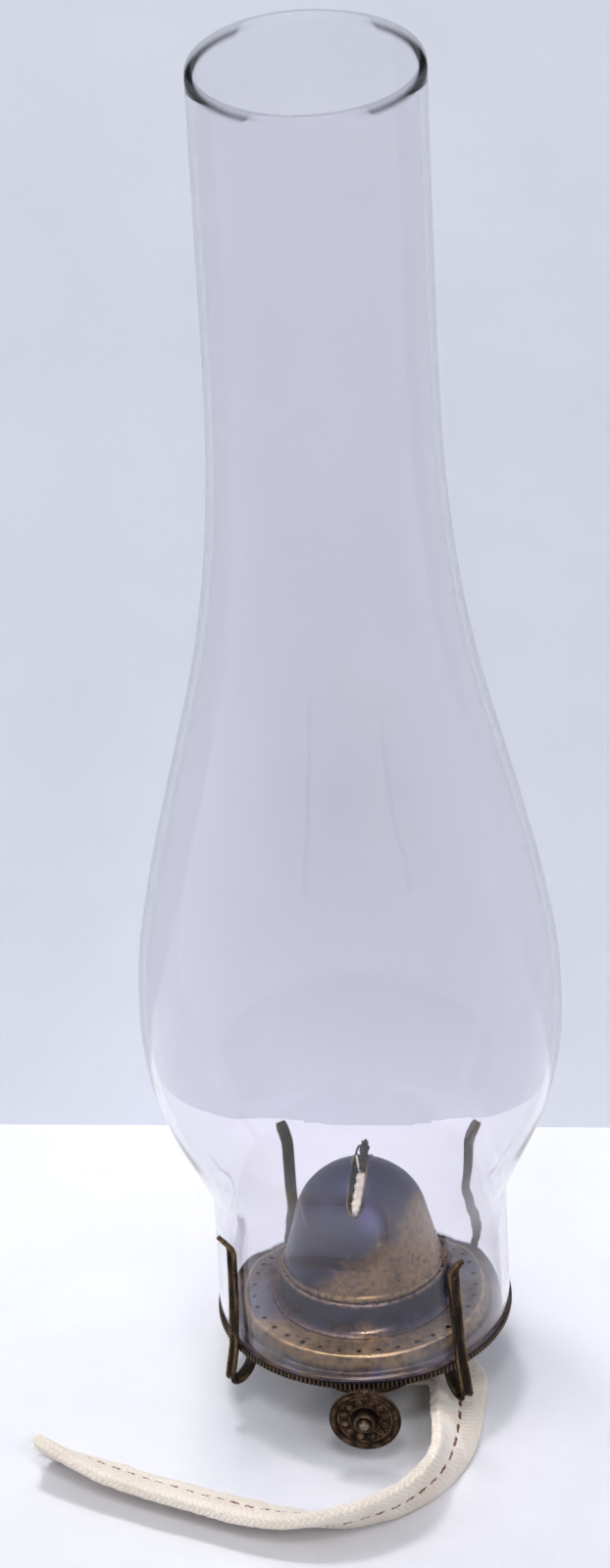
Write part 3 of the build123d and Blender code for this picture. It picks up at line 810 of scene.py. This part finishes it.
def chimney():
    outer = [(38.1, 1.6), (38.1, 8.0), (38.1, 18.0), (38.1, 28.0), (38.1, 34.4)]
    shoulder = curve_through([(38.25, 36.4), (40.5, 43.4), (44.4, 52.4), (48.45, 61.6),
                              (51.6, 71.5), (53.5, 82.0), (54.1, 92.5)], 7)[:-1]
    taper = curve_through([(54.1, 92.5), (53.3, 110.0), (49.94, 131.0), (45.9, 150.0),
                           (41.37, 169.6), (37.0, 188.5), (33.5, 208.1), (31.0, 229.0),
                           (29.5, 251.0), (28.9, 276.0)], 8)
    neck = [(28.9, 300.0), (28.9, 325.0), (28.9, 345.0), (28.95, 356.5)]
    side = evenly(np.vstack([outer, shoulder, taper, neck]), 2.2)
    wall = 2.0
    slope = np.gradient(side, axis=0)
    normal = np.stack([-slope[:, 1], slope[:, 0]], -1)
    normal /= np.linalg.norm(normal, axis=1)[:, None]
    inner = side + normal * wall
    inner[:, 0] = np.minimum(inner[:, 0], side[:, 0] - 1.9)
    # the rim is fire-polished: a plain rounded edge
    lip = [(28.93, 360.3), (28.75, 361.0), (28.3, 361.42), (27.6, 361.42), (27.15, 361.0),
           (26.97, 360.3)]
    foot = [(36.1, 1.2), (36.5, 0.35), (37.1, 0.0), (37.7, 0.35)]
    outline = np.vstack([side, lip, inner[::-1], foot]) + np.array([0, FOOT])

    def wavy(a, r, z):
        """Blown glass is never quite round or even."""
        height = (z - FOOT) / 361.5
        free = smooth_step(z, FOOT + 30, FOOT + 70)
        r = r + free * (0.16 * np.sin(2 * a + 6 * height) + 0.07 * np.sin(5 * a - 9 * height))
        return r, z

    obj = lathe("glass_chimney", outline, 288, glass, sharp=60.0, wave=wavy)
    recalculated(obj)
    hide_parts("chimney")
    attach(obj, "chimney")
    return obj


chimney()

# ---- deck, drum and dome -----------------------------------------------------------------------

def drum():
    """Pressed sheet: a foot that rolls out on to the deck, and a rolled edge at the mouth."""
    outline = [
        (24.4, 28.3), (24.35, 28.75), (23.7, 28.9), (23.1, 29.15), (22.6, 29.6), (22.2, 30.3),
        (22.05, 31.3), (21.95, 33.8), (21.9, 35.4), (21.95, 36.2), (22.0, 36.7), (21.8, 37.15),
        (21.4, 37.3), (20.8, 37.25), (20.2, 37.2), (19.4, 37.2), (18.9, 37.05), (19.0, 36.8),
        (20.4, 36.75), (21.1, 36.6), (21.45, 36.0), (21.45, 33.8), (21.5, 31.4), (21.5, 28.35),
    ]

    def wear(a, r, z):
        return smooth_step(z, 36.4, 37.1) * 0.6 + 0.25 * smooth_step(r, 22.6, 23.6)

    def dent(a, r, z):
        sag = 0.12 * np.sin(3 * a + 1.0) + 0.08 * np.sin(7 * a)
        return r + sag * smooth_step(z, 29.0, 31.0) * (1 - smooth_step(z, 35.2, 36.8)), z

    obj = lathe("drum_shell", outline, 192, drum_metal, wear=wear, sharp=50, wave=dent)
    recalculated(obj)
    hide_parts("drum")
    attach(obj, "burner")
    return obj


drum()

CAP_CENTRE = 47.14
CAP_RADIUS = 18.0


def dome():
    """Bell wall with a crease at the shoulder and a rolled foot, and a slot cut for the wick."""
    out = [
        (20.85, 37.55), (20.95, 38.0), (20.8, 38.45), (20.4, 38.65), (20.1, 38.95), (20.12, 39.6),
        (19.95, 41.2), (19.55, 43.2), (19.05, 45.4), (18.5, 47.6), (17.85, 49.9), (17.25, 51.9),
        (16.8, 53.3), (16.5, 54.0), (16.22, 54.4), (16.28, 54.8),
    ]
    arc = [(CAP_RADIUS * math.sin(t), CAP_CENTRE + CAP_RADIUS * math.cos(t))
           for t in np.linspace(math.asin(16.15 / 18.0), 0.012, 42)]
    top_out = np.array(out[:-1] + arc)
    slope = np.gradient(top_out, axis=0)
    normal = np.stack([-slope[:, 1], slope[:, 0]], -1)
    normal /= np.linalg.norm(normal, axis=1)[:, None]
    inside = top_out + normal * 0.45
    inside[0] = (20.1, 37.4)
    outline = np.vstack([top_out, inside[::-1]])

    def wear(a, r, z):
        foot = smooth_step(z, 38.9, 38.2) * 0.85
        crease = 0.6 * np.exp(-(((z - 54.75) / 0.5) ** 2)) * smooth_step(np.sin(a - 0.6), -0.4, 0.6)
        return np.clip(foot + crease, 0, 1)

    shell = lathe("dome_shell", outline, 224, dome_metal, wear=wear, sharp=35)
    recalculated(shell)
    # the slot: a stadium prism, wider than the wick
    half, end_r, steps = 13.3, 2.1, 14
    ring = []
    for way in (1, -1):
        for t in np.linspace(-math.pi / 2, math.pi / 2, steps):
            ring.append((way * -end_r * math.sin(t), way * (half - end_r + end_r * math.cos(t))))
    count = len(ring)
    points = [(x, y, z) for z in (48.5, 80.0) for x, y in ring]
    faces = grid_faces(2, count, False, True)
    faces += [tuple(range(count))[::-1], tuple(range(count, 2 * count))]
    cutter = make_object("slot_cutter", points, faces, None)
    recalculated(cutter)
    modifier = shell.modifiers.new("slot", "BOOLEAN")
    modifier.operation, modifier.solver, modifier.object = "DIFFERENCE", "EXACT", cutter
    bpy.context.view_layer.update()
    cut = bpy.data.meshes.new_from_object(
        shell.evaluated_get(bpy.context.evaluated_depsgraph_get()))
    shell.modifiers.clear()
    old = shell.data
    shell.data = cut
    cut.name = "dome_shell"
    bpy.data.meshes.remove(old)
    bpy.data.objects.remove(cutter)
    cut.shade_smooth()
    cut.set_sharp_from_angle(angle=math.radians(35))
    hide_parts("dome")
    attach(shell, "dome")
    return ring


slot_ring = dome()


def slot_lip():
    """The turned-up edge round the slot, bright where the trimmer has rubbed it."""
    ring = np.array(slot_ring)
    run = np.linalg.norm(np.diff(np.vstack([ring, ring[:1]]), axis=0), axis=1)
    at = np.concatenate([[0], np.cumsum(run)])
    even = np.linspace(0, at[-1], 220, endpoint=False)
    x = np.interp(even, at, np.append(ring[:, 0], ring[0, 0]))
    y = np.interp(even, at, np.append(ring[:, 1], ring[0, 1]))
    z = CAP_CENTRE + np.sqrt(CAP_RADIUS**2 - x**2 - y**2)
    middle = np.stack([x, y, z], -1)
    tangent = np.roll(middle, -1, 0) - np.roll(middle, 1, 0)
    tangent /= np.linalg.norm(tangent, axis=1)[:, None]
    outward = (middle - np.array([0, 0, CAP_CENTRE])) / CAP_RADIUS
    side = np.cross(tangent, outward)
    points, wear = [], []
    for i in range(len(middle)):
        swell = 1 + 0.12 * math.sin(i * 0.35)
        for q in range(10):
            a = 2 * math.pi * q / 10
            points.append(middle[i] + swell * (outward[i] * (0.1 + 0.34 * math.sin(a))
                                               + side[i] * 0.26 * math.cos(a)))
            wear.append(max(0.0, math.sin(a)) * (0.45 + 0.4 * math.sin(i * 0.11 + 2)))
    obj = make_object("slot_lip", points, grid_faces(len(middle), 10, True, True), dome_metal, 60,
                      wear=wear)
    recalculated(obj)
    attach(obj, "dome")
    return obj


slot_lip()


def fillet_line(corners, radius, steps=7):
    """An open line in the XZ plane with its corners eased."""
    p = [np.array(c, float) for c in corners]
    out = [p[0]]
    for a, b, c in zip(p, p[1:], p[2:]):
        la, lc = np.linalg.norm(a - b), np.linalg.norm(c - b)
        cut = min(radius, 0.45 * la, 0.45 * lc)
        start, end = b + (a - b) / la * cut, b + (c - b) / lc * cut
        for t in np.linspace(0, 1, steps):
            out.append((1 - t) ** 2 * start + 2 * t * (1 - t) * b + t * t * end)
    out.append(p[-1])
    fine = [out[0]]
    for a, b in zip(out, out[1:]):
        pieces = max(1, int(np.linalg.norm(b - a) / 0.6))
        for k in range(1, pieces + 1):
            fine.append(a + (b - a) * k / pieces)
    keep = [fine[0]]
    for q in fine[1:]:
        if np.linalg.norm(q - keep[-1]) > 0.02:
            keep.append(q)
    return np.array(keep)


# each prong's direction in degrees, how much lower its flare begins, and its lean to one side
PRONGS = [(46.0, 0.0, -0.012), (127.0, 4.0, 0.008), (217.0, 0.0, 0.004), (315.0, 1.4, -0.034)]


def prong(number):
    """A brass strip with beaded edges: riveted foot, hairpin, leg along the glass, flared tip."""
    angle, drop, sway = PRONGS[number - 1]
    line = fillet_line([(34.7, 22.0), (34.7, 19.6), (36.2, 15.8), (38.6, 13.85), (40.4, 13.8),
                        (41.3, 14.6), (40.9, 17.2), (39.6, 24.2), (38.95, 40.0),
                        (38.85, 54.6 - drop), (39.6, 56.6 - drop), (42.1, 59.9 - drop)], 1.6)
    tangent = np.gradient(line, axis=0)
    tangent /= np.linalg.norm(tangent, axis=1)[:, None]
    normal = np.stack([-tangent[:, 1], tangent[:, 0]], -1)
    # half section: outer face with a bead along each edge, then the plain back
    section_points = [
        (-1.75, 0.0), (-1.74, 0.45), (-1.62, 0.82), (-1.38, 0.92), (-1.16, 0.72), (-0.95, 0.36),
        (-0.5, 0.18), (0.0, 0.14), (0.5, 0.18), (0.95, 0.36), (1.16, 0.72), (1.38, 0.92),
        (1.62, 0.82), (1.74, 0.45), (1.75, 0.0), (1.66, -0.26), (1.35, -0.38), (0.6, -0.36),
        (0.0, -0.34), (-0.6, -0.36), (-1.35, -0.38), (-1.66, -0.26),
    ]
    bead = [0.55, 0.75, 0.95, 1.0, 0.6, 0.12, 0.0, 0.0, 0.0, 0.12, 0.6, 1.0, 0.95, 0.75, 0.55,
            0.4, 0.3, 0.1, 0.05, 0.1, 0.3, 0.4]
    count = len(section_points)
    turn = math.radians(angle)
    c, s = math.cos(turn), math.sin(turn)
    points, wear = [], []
    total = len(line)
    for i, (r, z) in enumerate(line):
        close = min(i, total - 1 - i)
        narrow = 1.0 if close > 3 else (0.72, 0.88, 0.95, 0.99)[close]
        for k, (w, h) in enumerate(section_points):
            # the beads face away from the lamp on the leg and stay outside round the hairpin
            rr, zz = r - normal[i, 0] * h, z - normal[i, 1] * h
            side = w * narrow + sway * max(0.0, z - 20)
            points.append((rr * c - side * s, rr * s + side * c, zz))
            handled = 0.32 + 0.6 * noise.noise(Vector((i * 0.09, number * 3.1, k * 0.3)))
            tip = smooth_step(z, 50, 58) if i > total / 2 else 0.0
            wear.append(max(0.0, min(1.0, bead[k] * handled + 0.12 * float(tip))))
    faces = grid_faces(total, count, False, True)
    faces.append(tuple(range(count))[::-1])
    faces.append(tuple(range((total - 1) * count, total * count)))
    obj = make_object(f"prong_strip_{number}", points, faces, dark_metal, 50.0, wear=wear)
    recalculated(obj)
    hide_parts(f"prong_foot_{number}", f"prong_leg_{number}")
    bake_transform(obj)
    return obj


for number in (1, 2, 3, 4):
    prong(number)


# ---- knob --------------------------------------------------------------------------------------
KNOB_X, KNOB_Z = 4.1, 16.0              # the shaft's axis
KNOB_FACE = -43.6                      # the disc's front, from which the hub rises

def knob():
    """A dished disc with a milled edge and a raised leaf pattern between its rings."""
    columns = 288
    radii = np.concatenate([np.linspace(1.1, 8.85, 62), [9.0, 9.15, 9.28]])
    front, wear = [], []
    for r in radii:
        for j in range(columns):
            a = 2 * math.pi * j / columns
            dish = -0.62 * float(smooth_step(r, 8.0, 7.1))
            rim = 0.10 * math.exp(-(((r - 8.35) / 0.5) ** 2))
            ring = 0.20 * math.exp(-(((r - 6.95) / 0.22) ** 2))
            ring += 0.16 * math.exp(-(((r - 4.05) / 0.25) ** 2))
            part = (12 * a / (2 * math.pi)) % 1 - 0.5
            size = (r - 5.55) / 1.15
            leaf = max(0.0, 1 - (part / (0.36 - 0.12 * size)) ** 2 - size**2)
            vein = 0.3 * math.exp(-((part / 0.05) ** 2)) if leaf > 0.05 else 0.0
            pattern = 0.26 * math.sqrt(leaf) - 0.3 * 0.26 * vein
            dots = 0.12 * max(0.0, 1 - ((part - 0.5 * np.sign(part)) / 0.11) ** 2
                              - ((r - 6.15) / 0.34) ** 2)
            chip = 0.05 * noise.noise(Vector((r * 0.9 * math.cos(a), r * 0.9 * math.sin(a), 4)))
            high = dish + rim + ring + pattern + dots + chip
            if r > 8.9:
                high -= (r - 8.9) ** 2 * 1.8
            front.append((r, a, high))
            lit = (ring / 0.2) * 0.8 + (leaf**0.5) * 0.75 + dots * 5 + (rim / 0.1) * 0.55
            uneven = 0.5 + 0.9 * noise.noise(Vector((r * 0.5 * math.cos(a) + 9,
                                                     r * 0.5 * math.sin(a), 1)))
            wear.append(max(0.0, min(1.0, lit * uneven)))
    rows = len(radii)
    # milled edge, then the back
    edge = [(9.4, -0.28), (9.4, -0.8), (9.4, -1.3), (9.2, -1.55), (7.4, -1.55), (7.1, -1.2),
            (1.1, -1.15)]
    for k, (r, high) in enumerate(edge):
        for j in range(columns):
            a = 2 * math.pi * j / columns
            tooth = 0.5 + 0.5 * math.cos(72 * a)
            cut = 0.34 * (1 - tooth) if k < 4 else 0.0
            front.append((r - cut, a, high))
            wear.append(0.75 * tooth if k < 4 else 0.1)
    rows += len(edge)
    points = [(KNOB_X + r * math.cos(a), KNOB_FACE - high, KNOB_Z + r * math.sin(a))
              for r, a, high in front]
    obj = make_object("knob_face", points, grid_faces(rows, columns, True, True), knob_metal, 50.0,
                      wear=wear)
    recalculated(obj)
    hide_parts("knob_disc")
    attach(obj, "knob")
    return obj


def boss():
    """The riveted hub: a domed collar with the shaft's burred end in the middle."""
    rings = [(3.2, -0.75), (3.25, 0.1), (3.15, 0.7), (2.9, 1.15), (2.5, 1.5), (2.3, 1.62),
             (2.1, 1.5), (1.9, 1.35), (1.6, 1.4), (1.45, 2.2), (1.35, 2.42), (1.05, 2.45),
             (0.9, 2.3)]
    columns = 72
    points, wear = [], []
    for k, (r, high) in enumerate(rings):
        for j in range(columns):
            a = 2 * math.pi * j / columns
            flat = 0.06 * math.cos(6 * a) if 0 < k < 5 else 0.0
            points.append((KNOB_X + (r + flat) * math.cos(a), KNOB_FACE - high,
                           KNOB_Z + (r + flat) * math.sin(a)))
            wear.append({5: 0.6, 4: 0.35, 10: 0.8, 11: 0.7, 9: 0.4}.get(k, 0.05))
    faces = grid_faces(len(rings), columns, False, True)
    faces.append(tuple(range(columns)))
    faces.append(tuple(range((len(rings) - 1) * columns, len(rings) * columns))[::-1])
    obj = make_object("knob_hub", points, faces, knob_metal, 45.0, wear=wear)
    recalculated(obj)
    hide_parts("knob_boss")
    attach(obj, "knob")
    return obj


knob()
boss()


# ---- screw collar ------------------------------------------------------------------------------
def collar():
    """The threaded collar, with a real helix of rounded sheet-metal thread."""
    pitch, columns = 2.1, 192
    rows = 64
    points, wear = [], []
    for j in range(columns):
        a = 2 * math.pi * j / columns
        ring, rub = [], []
        ring.append((14.675, 12.6)), rub.append(0.2)
        for t in np.linspace(0, 1, 6):
            ring.append((14.675, 12.6 - 9.6 * t)), rub.append(0.1)
        ring += [(14.9, 3.0), (15.15, 3.05)]
        rub += [0.5, 0.6]
        for t in np.linspace(0, 1, rows):
            z = 3.2 + 8.6 * t
            fade = float(smooth_step(z, 3.6, 5.0) * (1 - smooth_step(z, 10.2, 11.4)))
            wave = 0.5 + 0.5 * math.cos(2 * math.pi * (z / pitch - a / (2 * math.pi)))
            base = 15.3 + 0.1 * float(smooth_step(z, 3.2, 4.0))
            ring.append((base + 0.45 * wave**1.4 * fade, z))
            rub.append(0.75 * wave**3 * fade + 0.15)
        ring += [(15.9, 11.95), (17.1, 12.02), (17.4, 12.15), (17.4, 12.45), (17.2, 12.6)]
        rub += [0.1, 0.3, 0.8, 0.8, 0.4]
        width = len(ring)
        for (r, z), w in zip(ring, rub):
            points.append((r * math.cos(a), r * math.sin(a), z))
            wear.append(w)
    obj = make_object("threaded_collar", points, grid_faces(columns, width, True, True),
                      dark_metal, 40.0, wear=wear)
    recalculated(obj)
    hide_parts("screw_collar")
    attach(obj, "burner")
    return obj


collar()


# ---- CAD nodes that stay: they get worn-metal materials ----------------------------------------
def dress(name, material):
    mesh = nodes[name].data
    if not mesh.materials:
        mesh.materials.append(material)
    for k in range(len(mesh.materials)):
        mesh.materials[k] = material


dress("deck", deck_metal)
dress("rim_ring", rim_metal)
dress("dome_skirt", dome_metal)
for name in ("base_plate", "vent_tube", "wick_tube", "basket", "bracket_front", "bracket_rear"):
    dress(name, inner_metal)
for name in ("prong_rivet_1", "prong_rivet_2", "prong_rivet_3", "prong_rivet_4"):
    dress(name, dark_metal)
for name in ("wick_shaft", "shaft_collar", "spur_wheel_1", "spur_wheel_2", "spur_wheel_3"):
    dress(name, steel_metal)


# ---- floor, wall and lamps ---------------------------------------------------------------------
def stage_plane(name, corners, material):
    mesh = bpy.data.meshes.new(name)
    mesh.from_pydata(corners, [], [tuple(range(len(corners)))])
    obj = bpy.data.objects.new(name, mesh)
    scene.collection.objects.link(obj)
    mesh.materials.append(material)
    return obj


floor_paint = paper("floor_cloth", (0.80, 0.80, 0.835), 30.0, 0.35)
wall_paint = paper("wall_paint", (0.82, 0.845, 0.90), 60.0, 0.08, back_clear=True)
stage_plane("floor", [(-3, -3, 0), (3, -3, 0), (3, 3, 0), (-3, 3, 0)], floor_paint)
behind = 0.1123                        # how far the wall is behind the burner's axis
slope = 0.038                          # the wall isn't quite square to the burner
wall = stage_plane("wall", [(-1.5, behind - 1.5 * slope, 0), (1.5, behind + 1.5 * slope, 0),
                            (1.5, behind + 1.5 * slope, 0.9), (-1.5, behind - 1.5 * slope, 0.9)],
                   wall_paint)
wall.visible_shadow = False


def area_lamp(name, place, aim, size, power, tint=(1, 1, 1)):
    data = bpy.data.lights.new(name, "AREA")
    data.shape, data.size, data.energy, data.color = "DISK", size, power, tint
    obj = bpy.data.objects.new(name, data)
    scene.collection.objects.link(obj)
    obj.location = place
    obj.rotation_mode = "QUATERNION"
    obj.rotation_quaternion = (Vector(aim) - Vector(place)).to_track_quat("-Z", "Y")
    return obj


area_lamp("ceiling", (-0.25, 0.45, 1.9), (0, 0, 0.1), 0.32, 16.0, (1.0, 0.985, 0.96))
area_lamp("front_soft", (0.9, -1.7, 1.6), (0, 0, 0.15), 0.7, 9.5, (0.97, 0.98, 1.0))
area_lamp("left_soft", (-1.6, -0.5, 1.3), (0, 0, 0.2), 0.9, 6.0, (0.96, 0.98, 1.0))

area_lamp("wall_wash", (0.1, -0.9, 1.35), (0, 0.11, 0.62), 0.3, 5.0, (0.98, 0.99, 1.0))

world = bpy.data.worlds.new("studio")
scene.world = world
world.use_nodes = True
world.node_tree.nodes["Background"].inputs[0].default_value = (0.80, 0.83, 0.92, 1)
world.node_tree.nodes["Background"].inputs[1].default_value = 0.37
scene.view_settings.view_transform = "Standard"
